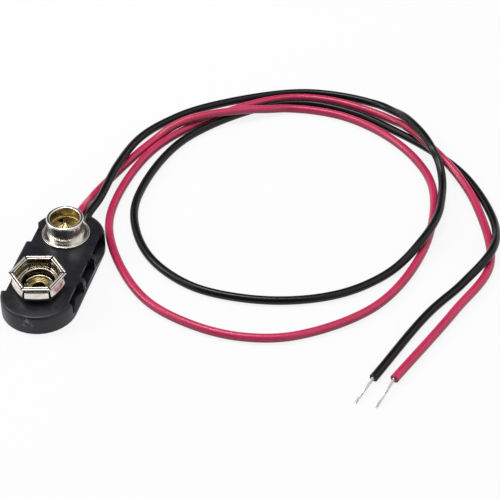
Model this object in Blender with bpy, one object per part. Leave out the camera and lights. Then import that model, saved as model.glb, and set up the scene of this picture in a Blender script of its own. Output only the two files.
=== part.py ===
"""Battery snap connector: a moulded housing with a stud and a six-petal socket, and two leads.

Metres, +Z up. The connector lies on its back with its contacts up. +Y runs along its long
axis to the end where the leads come out, and the origin is at the bottom of its middle.
"""
from math import atan2, cos, pi, radians, sin, sqrt

import bmesh
import bpy
from mathutils import Matrix, Vector

# Housing: a long moulding with round ends
HOUSING_HEIGHT = 0.0032
END_CENTRE_Y = 0.00675
END_RADIUS = 0.00568
TOP_EDGE_ROUND = 0.00050
BOTTOM_EDGE_ROUND = 0.00015
PLATE_THICKNESS = 0.00085
CAVITY_RADIUS = 0.00345

# Side pockets under the edge of the top plate, each from one y to another
POCKET_FLOOR = 0.00115
POCKET_DEPTH_X = 0.0040
PLATE_EDGE_X = 0.0048
PLATE_EDGE_THICKNESS = 0.0006
POCKET_CORNER = 0.0002
RIGHT_POCKETS = ((-0.0079, -0.0030), (-0.0021, 0.0024), (0.0033, 0.0082))
LEFT_POCKETS = ((-0.0076, -0.0031), (0.0038, 0.0086))

# Back cover, let into the underside
COVER_RADIUS = 0.0045
COVER_THICKNESS = 0.0005
COVER_CLEARANCE = 0.0001

# Notch in the end wall where the leads come out, and the channel behind it
NOTCH_CENTRE_X = 0.0005
NOTCH_WIDTH = 0.0034
NOTCH_INNER_Y = 0.0102
NOTCH_FLOOR = 0.00125
NOTCH_CORNER = 0.0006
CHANNEL_FLOOR = 0.00075
CHANNEL_INNER_X = -0.0023
CHANNEL_INNER_Y = 0.0074
CHANNEL_OUTER_Y = 0.0121
CHANNEL_CORNER = 0.0003

# Contacts: centre distance, the place of the point between them, and the gap of seated metal
CONTACT_PITCH = 0.0127
CONTACT_X = -0.0002
CONTACT_MIDDLE_Y = 0.0004
SEAT_GAP = 0.00005

# Stud: a drawn tube on a flange, with a rolled rim and a raised inner floor
STUD_HEIGHT = 0.00325
STUD_RIM_RADIUS = 0.00285
STUD_MOUTH_RADIUS = 0.00227
STUD_RIM_ROLL = 0.00020
STUD_WALL_RADIUS = 0.00262
STUD_FILLET = 0.00055
STUD_FLANGE_RADIUS = 0.00366
STUD_FLANGE_BEAD = 0.00018
STUD_SHEET = 0.00024
STUD_GROOVE_DEPTH = 0.00014
STUD_GROOVE_WIDTH = 0.00026
STUD_FLOOR_HEIGHT = 0.00165

# Socket: a cup with a round floor that opens into six petals with a shoulder and a hemmed lip
SOCKET_HEIGHT = 0.00315
SOCKET_TURN = radians(-15.4)
SOCKET_LIP_FLAT = 0.00374
SOCKET_LIP_ROLL = 0.00011
SOCKET_LIP_WIDTH = 0.00055
SOCKET_WAIST_FLAT = 0.00322
SOCKET_WAIST_HEIGHT = 0.0022
SOCKET_SHOULDER_FLAT = 0.00364
SOCKET_SHOULDER_HEIGHT = 0.00118
SOCKET_SHOULDER_SQUARENESS = 0.6
SOCKET_FLOOR_RADIUS = 0.0023
SOCKET_SHEET = 0.00024
SOCKET_STEP_RADIUS = 0.00256
SOCKET_STEP_HEIGHT = 0.00172
SOCKET_RING_RADIUS = 0.00210
SOCKET_RING_HEIGHT = 0.00075
PETAL_COUNT = 6
PETAL_SLOT = 0.00032
PETAL_SLOT_FLOOR = 0.0010
PETAL_SLOT_INNER = 0.00275

# Eyelets: hollow rivets that hold each contact and its tag to the plate
EYELET_STEM_RADIUS = 0.00116
EYELET_SHEET = 0.0002
EYELET_CURL_RADIUS = 0.00040
EYELET_FOOT_RADIUS = 0.0016
EYELET_HOLE_CLEARANCE = 0.0001
STUD_EYELET_SPLITS = ((163, 0.0006), (250, 0.0002), (318, 0.0002), (62, 0.0002))
SOCKET_EYELET_RIM = 0.00185
SOCKET_EYELET_GROOVE = 0.00142

# Tags under the plate that the leads are soldered to
TAG_THICKNESS = 0.00025
TAG_WIDTH = 0.0026
TAG_CORNER = 0.0006
STUD_TAG_ENDS = (-0.0018, 0.0030)
SOCKET_TAG_ENDS = (-0.0018, 0.0086)

# Leads: soft insulation over a twisted core that is bare at its far end
BLACK_LEAD_DIAMETER = 0.00131
RED_LEAD_DIAMETER = 0.00135
BLACK_INNER_RUN = 0.0013
RED_INNER_RUN = 0.0024
CORE_DIAMETER = 0.0004
LEAD_POINTS = 80
ROUTE_STEPS = 24
LEAD_END_GAP = 0.0001

# Points that each lead passes through, from its inner end to its far end
BLACK_ROUTE = (
    (0.0011, 0.0099, 0.00145), (0.0012, 0.0111, 0.00185), (0.0013, 0.0128, 0.00236),
    (0.00174, 0.01741, 0.00206), (0.00206, 0.02602, 0.00214), (0.00324, 0.03472, 0.00132),
    (0.0063, 0.0411, 0.00066), (0.01198, 0.04664, 0.00066), (0.02638, 0.05404, 0.00066),
    (0.0384, 0.0538, 0.0007), (0.04171, 0.05184, 0.00129), (0.04439, 0.04874, 0.00271),
    (0.04688, 0.04543, 0.00352), (0.0488, 0.0430, 0.00352), (0.0503, 0.0408, 0.00322),
    (0.0516, 0.0391, 0.00235), (0.05283, 0.03581, 0.00137), (0.05356, 0.03061, 0.00162),
    (0.0537, 0.0262, 0.00197), (0.0526, 0.0204, 0.00208), (0.0492, 0.0135, 0.00078),
    (0.0437, 0.0073, 0.00066), (0.0368, 0.0036, 0.00066), (0.0288, 0.0020, 0.00066),
    (0.0207, 0.0027, 0.00066), (0.0135, 0.0068, 0.00066), (0.0089, 0.0131, 0.00066),
    (0.0069, 0.0206, 0.00066), (0.00987, 0.03633, 0.00066), (0.02048, 0.04842, 0.00066),
    (0.02752, 0.05116, 0.00066), (0.0361, 0.0503, 0.00066), (0.04342, 0.04714, 0.00066),
    (0.05014, 0.04337, 0.00066), (0.05662, 0.03781, 0.00066), (0.06236, 0.02802, 0.00082),
    (0.06312, 0.02001, 0.00213), (0.05987, 0.0130, 0.0008), (0.0560, 0.0054, 0.00066),
    (0.0508, -0.0097, 0.00066),
)
RED_ROUTE = (
    (-0.0007, 0.0029, 0.00126), (-0.0021, 0.0045, 0.00126), (-0.0027, 0.0067, 0.00126),
    (-0.00206, 0.00866, 0.00128), (-0.00062, 0.0105, 0.0015), (-0.00006, 0.0130, 0.0024),
    (-0.00004, 0.0186, 0.00077), (0.00095, 0.02268, 0.00068), (0.00517, 0.03488, 0.00068),
    (0.00748, 0.03831, 0.00151), (0.01039, 0.0408, 0.00209), (0.01744, 0.04505, 0.00192),
    (0.02146, 0.04743, 0.00112), (0.0252, 0.0491, 0.00069), (0.0335, 0.0492, 0.00068),
    (0.0413, 0.0461, 0.00068), (0.0478, 0.0406, 0.00068), (0.05174, 0.03379, 0.00068),
    (0.05286, 0.0195, 0.00068), (0.0483, 0.0052, 0.00068), (0.0384, -0.0038, 0.00068),
    (0.0304, -0.0061, 0.00068), (0.0222, -0.0052, 0.00068), (0.0145, -0.0016, 0.00068),
    (0.0068, 0.0079, 0.00068), (0.0039, 0.0164, 0.00068), (0.00582, 0.03259, 0.00068),
    (0.0130, 0.04352, 0.00068), (0.0225, 0.0512, 0.00068), (0.0310, 0.05287, 0.00068),
    (0.04284, 0.04966, 0.00077), (0.04563, 0.04685, 0.00185), (0.04781, 0.04462, 0.00219),
    (0.0498, 0.0428, 0.0020), (0.0522, 0.0404, 0.00192), (0.0556, 0.0369, 0.0012),
    (0.05917, 0.03129, 0.00068), (0.06318, 0.01829, 0.00068), (0.0597, 0.0068, 0.00068),
    (0.0537, -0.0092, 0.00068),
)
# Far ends of the bare strands, which droop to the surface
BLACK_STRAND_TIP = (0.0492, -0.0149, 0.00025)
RED_STRAND_TIP = (0.0522, -0.0152, 0.00025)

# Solder bead under each tag
SOLDER_WIDTH = 0.0012
SOLDER_LENGTH = 0.0011
SOLDER_DEPTH = 0.0005

TURN_STEPS = 36
ARC_STEPS = 4
END_ARC_STEPS = 20
CUT_MARGIN = 0.002
SHARP_ANGLE = radians(32)

PLATE_UNDERSIDE = HOUSING_HEIGHT - PLATE_THICKNESS
CONTACT_SEAT = HOUSING_HEIGHT + SEAT_GAP
TAG_TOP = PLATE_UNDERSIDE - SEAT_GAP
TAG_UNDERSIDE = TAG_TOP - TAG_THICKNESS
EYELET_HOLE_RADIUS = EYELET_STEM_RADIUS + EYELET_HOLE_CLEARANCE
STUD_Y = CONTACT_MIDDLE_Y + CONTACT_PITCH / 2
SOCKET_Y = CONTACT_MIDDLE_Y - CONTACT_PITCH / 2


def clear_scene():
    for thing in list(bpy.data.objects):
        bpy.data.objects.remove(thing, do_unlink=True)


def material(name, colour, roughness, metallic):
    made = bpy.data.materials.new(name)
    made.use_nodes = True
    shader = made.node_tree.nodes["Principled BSDF"]
    shader.inputs["Base Color"].default_value = (*colour, 1.0)
    shader.inputs["Roughness"].default_value = roughness
    shader.inputs["Metallic"].default_value = metallic
    made.diffuse_color = (*colour, 1.0)
    return made


def add_object(name, mesh, paint, location=(0.0, 0.0, 0.0)):
    thing = bpy.data.objects.new(name, mesh)
    thing.location = location
    bpy.context.collection.objects.link(thing)
    if paint:
        mesh.materials.append(paint)
        mesh.shade_smooth()
        mesh.set_sharp_from_angle(angle=SHARP_ANGLE)
    else:
        thing.hide_render = True
        thing.display_type = "WIRE"
    return thing


def finish_mesh(name, work):
    bmesh.ops.recalc_face_normals(work, faces=work.faces)
    mesh = bpy.data.meshes.new(name)
    work.to_mesh(mesh)
    work.free()
    return mesh


def cut(body, tool):
    change = body.modifiers.new("cut_" + tool.name, "BOOLEAN")
    change.operation = "DIFFERENCE"
    change.solver = "EXACT"
    change.object = tool


def arc(centre_r, centre_z, radius, start, end, steps=ARC_STEPS):
    """Points of a profile on an arc, from one angle in degrees to another."""
    points = []
    for step in range(steps + 1):
        angle = radians(start + (end - start) * step / steps)
        points.append((centre_r + radius * cos(angle), centre_z + radius * sin(angle)))
    return points


def turned(name, profile, paint, location, plan=None):
    """A closed profile of (r, z) points turned about +Z; plan stretches it with the angle."""
    work = bmesh.new()
    rings = []
    for step in range(TURN_STEPS):
        angle = 2 * pi * step / TURN_STEPS
        ring = []
        for r, z in profile:
            reach = r * plan(angle, r, z) if plan else r
            ring.append(work.verts.new((reach * cos(angle), reach * sin(angle), z)))
        rings.append(ring)
    for step, here in enumerate(rings):
        there = rings[(step + 1) % TURN_STEPS]
        for k in range(len(profile)):
            following = (k + 1) % len(profile)
            work.faces.new((here[k], there[k], there[following], here[following]))
    return add_object(name, finish_mesh(name, work), paint, location)


def round_ended(name, stations, paint, end_y=END_CENTRE_Y):
    """A solid with round ends: stations are (radius, z) from the bottom to the top."""
    work = bmesh.new()
    rings = []
    for radius, z in stations:
        ring = []
        for side in (1, -1):
            for step in range(END_ARC_STEPS + 1):
                angle = pi * step / END_ARC_STEPS
                x = side * radius * cos(angle)
                y = side * (end_y + radius * sin(angle))
                ring.append(work.verts.new((x, y, z)))
        rings.append(ring)
    for lower, upper in zip(rings, rings[1:]):
        for k in range(len(lower)):
            following = (k + 1) % len(lower)
            work.faces.new((lower[k], lower[following], upper[following], upper[k]))
    work.faces.new(rings[0])
    work.faces.new(rings[-1])
    return add_object(name, finish_mesh(name, work), paint)


def slab(name, x_ends, y_ends, z_ends, corner, paint):
    """A box whose four upright edges are rounded."""
    work = bmesh.new()
    bmesh.ops.create_cube(work, size=1.0)
    for vert in work.verts:
        vert.co.x = x_ends[vert.co.x > 0]
        vert.co.y = y_ends[vert.co.y > 0]
        vert.co.z = z_ends[vert.co.z > 0]
    upright = [e for e in work.edges if abs(e.verts[0].co.z - e.verts[1].co.z) > 1e-6]
    bmesh.ops.bevel(work, geom=upright, offset=corner, segments=ARC_STEPS, affect="EDGES", profile=0.5)
    return add_object(name, finish_mesh(name, work), paint)


def drill(name, radius, location, depth):
    """A round cutter about +Z, from its location down and up by depth."""
    work = bmesh.new()
    bmesh.ops.create_cone(work, cap_ends=True, segments=TURN_STEPS // 2,
                          radius1=radius, radius2=radius, depth=2 * depth)
    return add_object(name, finish_mesh(name, work), None, location)


def smooth_route(points, count):
    """Evenly spaced points on a smooth curve through the given ones."""
    knots = [Vector(p) for p in points]
    knots = [2 * knots[0] - knots[1]] + knots + [2 * knots[-1] - knots[-2]]
    dense = []
    for a, b, c, d in zip(knots, knots[1:], knots[2:], knots[3:]):
        t1 = sqrt((b - a).length)
        t2 = t1 + sqrt((c - b).length)
        t3 = t2 + sqrt((d - c).length)
        for step in range(ROUTE_STEPS):
            t = t1 + (t2 - t1) * step / ROUTE_STEPS
            near = a.lerp(b, t / t1)
            middle = b.lerp(c, (t - t1) / (t2 - t1))
            far = c.lerp(d, (t - t2) / (t3 - t2))
            first = near.lerp(middle, t / t2)
            second = middle.lerp(far, (t - t1) / (t3 - t1))
            dense.append(first.lerp(second, (t - t1) / (t2 - t1)))
    dense.append(Vector(points[-1]))
    travelled = [0.0]
    for a, b in zip(dense, dense[1:]):
        travelled.append(travelled[-1] + (b - a).length)
    even = []
    k = 0
    for step in range(count):
        goal = travelled[-1] * step / (count - 1)
        while k < len(dense) - 2 and travelled[k + 1] < goal:
            k += 1
        share = (goal - travelled[k]) / (travelled[k + 1] - travelled[k])
        even.append(dense[k].lerp(dense[k + 1], min(share, 1.0)))
    return even


def tube(name, points, diameter, paint):
    """A round cord along the points, resting on or above the surface."""
    curve = bpy.data.curves.new(name, "CURVE")
    curve.dimensions = "3D"
    curve.bevel_depth = diameter / 2
    curve.bevel_resolution = 2
    curve.use_fill_caps = True
    spline = curve.splines.new("POLY")
    spline.points.add(len(points) - 1)
    for spot, point in zip(spline.points, points):
        spot.co = (point.x, point.y, max(point.z, diameter / 2), 1.0)
    curve.materials.append(paint)
    bpy.context.collection.objects.link(bpy.data.objects.new(name, curve))


def build_shell(plastic):
    stations = [(END_RADIUS - BOTTOM_EDGE_ROUND, 0.0), (END_RADIUS, BOTTOM_EDGE_ROUND)]
    stations += arc(END_RADIUS - TOP_EDGE_ROUND, HOUSING_HEIGHT - TOP_EDGE_ROUND, TOP_EDGE_ROUND, 0, 90)
    shell = round_ended("housing_shell", stations, plastic)

    cut(shell, round_ended("cavity", [(CAVITY_RADIUS, -CUT_MARGIN), (CAVITY_RADIUS, PLATE_UNDERSIDE)], None))
    recess_top = COVER_THICKNESS + COVER_CLEARANCE
    cut(shell, round_ended("cover_recess", [(COVER_RADIUS, -CUT_MARGIN), (COVER_RADIUS, recess_top)], None))

    outside = END_RADIUS + CUT_MARGIN
    top = HOUSING_HEIGHT + CUT_MARGIN
    plate_edge = HOUSING_HEIGHT - PLATE_EDGE_THICKNESS
    for side, pockets in ((1, RIGHT_POCKETS), (-1, LEFT_POCKETS)):
        for number, y_ends in enumerate(pockets):
            for kind, inner_x, ceiling in (("edge", PLATE_EDGE_X, top), ("pocket", POCKET_DEPTH_X, plate_edge)):
                x_ends = sorted((side * inner_x, side * outside))
                name = f"{kind}_{'right' if side > 0 else 'left'}_{number}"
                cut(shell, slab(name, x_ends, y_ends, (POCKET_FLOOR, ceiling), POCKET_CORNER, None))

    notch_x = (NOTCH_CENTRE_X - NOTCH_WIDTH / 2, NOTCH_CENTRE_X + NOTCH_WIDTH / 2)
    notch_y = (NOTCH_INNER_Y, END_CENTRE_Y + outside)
    cut(shell, slab("notch", notch_x, notch_y, (NOTCH_FLOOR, top), NOTCH_CORNER, None))
    channel_x = (CHANNEL_INNER_X, notch_x[1])
    channel_y = (CHANNEL_INNER_Y, CHANNEL_OUTER_Y)
    cut(shell, slab("channel", channel_x, channel_y, (CHANNEL_FLOOR, PLATE_UNDERSIDE), CHANNEL_CORNER, None))

    for name, y in (("stud_hole", STUD_Y), ("socket_hole", SOCKET_Y)):
        cut(shell, drill(name, EYELET_HOLE_RADIUS, (CONTACT_X, y, PLATE_UNDERSIDE), HOUSING_HEIGHT))


def build_cover(plastic):
    radius = COVER_RADIUS - COVER_CLEARANCE
    round_ended("back_cover", [(radius, 0.0), (radius, COVER_THICKNESS)], plastic)


def build_stud(nickel):
    top = STUD_HEIGHT
    roll_z = top - STUD_RIM_ROLL
    outer_roll = STUD_RIM_RADIUS - STUD_RIM_ROLL
    inner_roll = STUD_MOUTH_RADIUS + STUD_RIM_ROLL
    flange_top = 2 * STUD_FLANGE_BEAD
    bead_r = STUD_FLANGE_RADIUS - STUD_FLANGE_BEAD
    groove_r = bead_r - STUD_GROOVE_WIDTH
    fillet_r = STUD_WALL_RADIUS + STUD_FILLET
    fillet_z = flange_top + STUD_FILLET
    inner_wall = STUD_WALL_RADIUS - STUD_SHEET
    profile = arc(outer_roll, roll_z, STUD_RIM_ROLL, 90, -60)
    profile.append((STUD_WALL_RADIUS, roll_z - 1.5 * STUD_RIM_ROLL))
    profile += arc(fillet_r, fillet_z, STUD_FILLET, 180, 270)
    profile.append((groove_r, flange_top - STUD_GROOVE_DEPTH))
    profile += arc(bead_r, STUD_FLANGE_BEAD, STUD_FLANGE_BEAD, 120, -90)
    profile.append((fillet_r, 0.0))
    profile.append((inner_wall, STUD_FILLET))
    profile.append((inner_wall, STUD_FLOOR_HEIGHT - STUD_SHEET))
    profile.append((EYELET_HOLE_RADIUS, STUD_FLOOR_HEIGHT - STUD_SHEET))
    profile.append((EYELET_HOLE_RADIUS, STUD_FLOOR_HEIGHT))
    corner = STUD_SHEET
    profile += arc(STUD_MOUTH_RADIUS - corner, STUD_FLOOR_HEIGHT + corner, corner, 270, 360)
    profile += arc(inner_roll, roll_z, STUD_RIM_ROLL, 180, 110)
    turned("stud_contact", profile, nickel, (CONTACT_X, STUD_Y, CONTACT_SEAT))


def socket_plan(angle, r, z):
    """Stretches the cup from round, near its floor, to six flat sides at its lip."""
    share = (r - SOCKET_STEP_RADIUS) / (SOCKET_WAIST_FLAT - SOCKET_STEP_RADIUS)
    share = min(max(share, 0.0), 1.0)
    above = (z - SOCKET_SHOULDER_HEIGHT) / (SOCKET_WAIST_HEIGHT - SOCKET_SHOULDER_HEIGHT)
    above = min(max(above, 0.0), 1.0)
    share *= SOCKET_SHOULDER_SQUARENESS + (1 - SOCKET_SHOULDER_SQUARENESS) * above
    side = 2 * pi / PETAL_COUNT
    off = (angle + side / 2) % side - side / 2
    return 1 + share * (1 / cos(off) - 1)


def build_socket(nickel):
    lip_top = SOCKET_HEIGHT - SOCKET_LIP_ROLL
    outer_bead = SOCKET_LIP_FLAT - SOCKET_LIP_ROLL
    inner_bead = SOCKET_LIP_FLAT - SOCKET_LIP_WIDTH + SOCKET_LIP_ROLL
    inner_waist = SOCKET_WAIST_FLAT - SOCKET_SHEET
    under_lip = SOCKET_LIP_FLAT - 2 * SOCKET_LIP_ROLL
    profile = arc(outer_bead, lip_top, SOCKET_LIP_ROLL, 120, -60)
    profile.append((under_lip - SOCKET_LIP_ROLL, lip_top - 2 * SOCKET_LIP_ROLL))
    profile.append((SOCKET_WAIST_FLAT, SOCKET_WAIST_HEIGHT))
    profile.append((SOCKET_WAIST_FLAT + SOCKET_SHEET / 4, SOCKET_WAIST_HEIGHT - SOCKET_SHEET))
    spread = SOCKET_SHOULDER_FLAT - SOCKET_FLOOR_RADIUS
    for angle in (0, -20, -40, -60, -75, -90):
        reach = SOCKET_FLOOR_RADIUS + spread * cos(radians(angle))
        profile.append((reach, SOCKET_SHOULDER_HEIGHT * (1 + sin(radians(angle)))))
    profile.append((EYELET_HOLE_RADIUS, 0.0))
    profile.append((EYELET_HOLE_RADIUS, SOCKET_SHEET))
    roll = SOCKET_SHEET / 2
    profile.append((SOCKET_RING_RADIUS - roll, SOCKET_SHEET))
    profile += arc(SOCKET_RING_RADIUS, SOCKET_RING_HEIGHT - roll, roll, 180, 0)
    profile.append((SOCKET_STEP_RADIUS - 1.5 * roll, SOCKET_RING_HEIGHT - roll))
    profile += arc(SOCKET_STEP_RADIUS, SOCKET_STEP_HEIGHT - roll, roll, 180, 0)
    profile.append((inner_waist - roll, SOCKET_SHOULDER_HEIGHT))
    profile.append((inner_waist, SOCKET_STEP_HEIGHT))
    profile.append((inner_waist, SOCKET_WAIST_HEIGHT))
    profile += arc(inner_bead, lip_top, SOCKET_LIP_ROLL, 200, 60)
    cup = turned("socket_contact", profile, nickel, (CONTACT_X, SOCKET_Y, CONTACT_SEAT), plan=socket_plan)
    cup.rotation_euler.z = SOCKET_TURN

    corner_reach = SOCKET_LIP_FLAT / cos(pi / PETAL_COUNT) + CUT_MARGIN
    for number in range(PETAL_COUNT):
        y_ends = (-PETAL_SLOT / 2, PETAL_SLOT / 2)
        z_ends = (PETAL_SLOT_FLOOR, SOCKET_HEIGHT + CUT_MARGIN)
        slot = slab(f"slot_{number}", (PETAL_SLOT_INNER, corner_reach), y_ends, z_ends, PETAL_SLOT / 8, None)
        slot.location = (CONTACT_X, SOCKET_Y, CONTACT_SEAT)
        slot.rotation_euler.z = SOCKET_TURN + (number + 0.5) * 2 * pi / PETAL_COUNT
        cut(cup, slot)


def eyelet_foot():
    """Profile of a rivet's foot, from its stem under the tag round to its bore."""
    bore = EYELET_STEM_RADIUS - EYELET_SHEET
    foot_top = TAG_UNDERSIDE - SEAT_GAP
    roll = EYELET_SHEET / 2
    profile = [(EYELET_STEM_RADIUS, foot_top)]
    profile += arc(EYELET_FOOT_RADIUS - roll, foot_top - roll, roll, 90, -90)
    profile.append((bore + roll, foot_top - EYELET_SHEET))
    profile.append((bore, foot_top))
    return profile


def build_stud_eyelet(brass):
    curl_r = EYELET_STEM_RADIUS - EYELET_SHEET + EYELET_CURL_RADIUS
    curl_z = CONTACT_SEAT + STUD_FLOOR_HEIGHT + SEAT_GAP + EYELET_CURL_RADIUS / 2
    profile = arc(curl_r, curl_z, EYELET_CURL_RADIUS, 90, -20)
    profile += arc(curl_r, curl_z, EYELET_CURL_RADIUS - EYELET_SHEET, -20, 180, 2 * ARC_STEPS)
    profile += eyelet_foot()
    profile += arc(curl_r, curl_z, EYELET_CURL_RADIUS, 180, 110)
    eyelet = turned("stud_eyelet", profile, brass, (CONTACT_X, STUD_Y, 0.0))

    z_ends = (curl_z - EYELET_CURL_RADIUS / 2, curl_z + EYELET_CURL_RADIUS + CUT_MARGIN)
    x_ends = (0.0, curl_r + EYELET_CURL_RADIUS + CUT_MARGIN)
    for angle, width in STUD_EYELET_SPLITS:
        half = width / 2
        split = slab(f"split_{angle}", x_ends, (-half, half), z_ends, half / 4, None)
        split.location = (CONTACT_X, STUD_Y, 0.0)
        split.rotation_euler.z = radians(angle)
        cut(eyelet, split)


def build_socket_eyelet(brass):
    bore = EYELET_STEM_RADIUS - EYELET_SHEET
    seat = CONTACT_SEAT + SOCKET_SHEET + SEAT_GAP
    roll = EYELET_SHEET
    rim_r = SOCKET_EYELET_RIM - roll
    rim_z = seat + roll
    profile = arc(rim_r, rim_z, roll, 110, -90)
    profile.append((EYELET_STEM_RADIUS, seat))
    profile += eyelet_foot()
    profile.append((bore, seat + EYELET_SHEET / 2))
    profile.append((SOCKET_EYELET_GROOVE - EYELET_SHEET, seat + EYELET_SHEET))
    profile.append((SOCKET_EYELET_GROOVE, seat + 1.6 * EYELET_SHEET))
    turned("socket_eyelet", profile, brass, (CONTACT_X, SOCKET_Y, 0.0))


def build_tag(name, contact_y, ends, metal):
    y_ends = (contact_y + ends[0], contact_y + ends[1])
    x_ends = (CONTACT_X - TAG_WIDTH / 2, CONTACT_X + TAG_WIDTH / 2)
    tag = slab(name, x_ends, y_ends, (TAG_UNDERSIDE, TAG_TOP), TAG_CORNER, metal)
    cut(tag, drill(name + "_hole", EYELET_HOLE_RADIUS, (CONTACT_X, contact_y, TAG_TOP), HOUSING_HEIGHT / 2))


def core_points(lead_start, inward, run):
    """From the lead's inner end face up to the underside of the tag, and along it."""
    lift = TAG_UNDERSIDE - SEAT_GAP - CORE_DIAMETER / 2
    start = Vector(lead_start) + inward * LEAD_END_GAP
    level = Vector((start.x, start.y, lift))
    return [start, start.lerp(level, 0.5) + inward * run / 4, level + inward * run / 2, level + inward * run]


def solder_bead(name, points, metal):
    """A bead under a tag, with the end of the core running through it."""
    work = bmesh.new()
    bmesh.ops.create_uvsphere(work, u_segments=16, v_segments=10, radius=1.0)
    for vert in work.verts:
        vert.co.x *= SOLDER_LENGTH / 2
        vert.co.y *= SOLDER_WIDTH / 2
        vert.co.z *= SOLDER_DEPTH
    along = points[-1] - points[-2]
    middle = points[-2].lerp(points[-1], 0.5)
    turn = atan2(along.y, along.x)
    bead = add_object(name, finish_mesh(name, work), metal, middle)
    bead.rotation_euler.z = turn

    room = (-SOLDER_LENGTH, SOLDER_LENGTH)
    lid = slab(name + "_lid", room, room, (TAG_UNDERSIDE - SEAT_GAP, HOUSING_HEIGHT), TAG_CORNER, None)
    lid.location = (middle.x, middle.y, 0.0)
    cut(bead, lid)

    work = bmesh.new()
    radius = CORE_DIAMETER / 2 + SEAT_GAP
    bmesh.ops.create_cone(work, cap_ends=True, segments=16, radius1=radius, radius2=radius,
                          depth=2 * SOLDER_LENGTH, matrix=Matrix.Rotation(pi / 2, 4, "Y"))
    bore = add_object(name + "_bore", finish_mesh(name + "_bore", work), None, middle)
    bore.rotation_euler.z = turn
    cut(bead, bore)


def build_lead(colour, route, diameter, inner_run, tip, insulation, metal):
    points = smooth_route(route, LEAD_POINTS)
    tube(f"{colour}_lead", points, diameter, insulation)
    inward = points[0] - points[1]
    inward.z = 0.0
    inward.normalize()
    core = core_points(points[0], inward, inner_run)
    tube(f"{colour}_core", core, CORE_DIAMETER, metal)
    solder_bead(f"{colour}_solder", core, metal)
    outward = (points[-1] - points[-2]).normalized()
    start = points[-1] + outward * LEAD_END_GAP
    tube(f"{colour}_strands", [start, start.lerp(Vector(tip), 0.5), Vector(tip)], CORE_DIAMETER, metal)


def main():
    clear_scene()
    plastic = material("black_plastic", (0.020, 0.020, 0.024), 0.35, 0.0)
    nickel = material("nickel_plate", (0.78, 0.75, 0.70), 0.18, 1.0)
    brass = material("bare_brass", (0.66, 0.47, 0.16), 0.25, 1.0)
    tinned = material("tinned_copper", (0.72, 0.71, 0.70), 0.35, 1.0)
    black_pvc = material("black_insulation", (0.012, 0.011, 0.013), 0.35, 0.0)
    red_pvc = material("red_insulation", (0.55, 0.02, 0.08), 0.35, 0.0)

    build_shell(plastic)
    build_cover(plastic)
    build_stud(nickel)
    build_socket(nickel)
    build_stud_eyelet(brass)
    build_socket_eyelet(brass)
    build_tag("stud_tag", STUD_Y, STUD_TAG_ENDS, tinned)
    build_tag("socket_tag", SOCKET_Y, SOCKET_TAG_ENDS, tinned)
    build_lead("black", BLACK_ROUTE, BLACK_LEAD_DIAMETER, BLACK_INNER_RUN,
               BLACK_STRAND_TIP, black_pvc, tinned)
    build_lead("red", RED_ROUTE, RED_LEAD_DIAMETER, RED_INNER_RUN, RED_STRAND_TIP, red_pvc, tinned)


main()
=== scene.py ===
"""Looks of the battery snap connector: camera, leads, metal contacts, materials, floor and light.

Metres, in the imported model's frame. Sizes and route points repeat those of the part's source.
"""

from math import atan2, cos, pi, radians, sin, sqrt

import bmesh
import bpy
from mathutils import Matrix, Vector


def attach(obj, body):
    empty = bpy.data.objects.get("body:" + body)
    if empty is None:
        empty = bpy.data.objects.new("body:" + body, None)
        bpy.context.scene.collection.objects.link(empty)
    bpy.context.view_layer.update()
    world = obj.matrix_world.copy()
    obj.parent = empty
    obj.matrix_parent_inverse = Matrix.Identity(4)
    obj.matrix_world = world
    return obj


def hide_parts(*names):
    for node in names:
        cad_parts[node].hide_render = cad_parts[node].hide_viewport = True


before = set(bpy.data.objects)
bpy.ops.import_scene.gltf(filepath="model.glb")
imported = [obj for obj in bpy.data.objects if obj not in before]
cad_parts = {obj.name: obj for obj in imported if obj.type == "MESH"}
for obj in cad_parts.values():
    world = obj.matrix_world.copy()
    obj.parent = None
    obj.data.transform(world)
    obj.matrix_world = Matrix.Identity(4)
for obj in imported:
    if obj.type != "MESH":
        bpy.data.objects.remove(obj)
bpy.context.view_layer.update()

# Camera fitted to the photograph
CAMERA_PLACE = (0.08006, -0.19879, 0.19185)
CAMERA_AZIMUTH = radians(14.046)
CAMERA_ELEVATION = radians(41.241)
CAMERA_LENS = 136.79
CAMERA_SENSOR = 36.0
CAMERA_NEAR = 0.01

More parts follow.
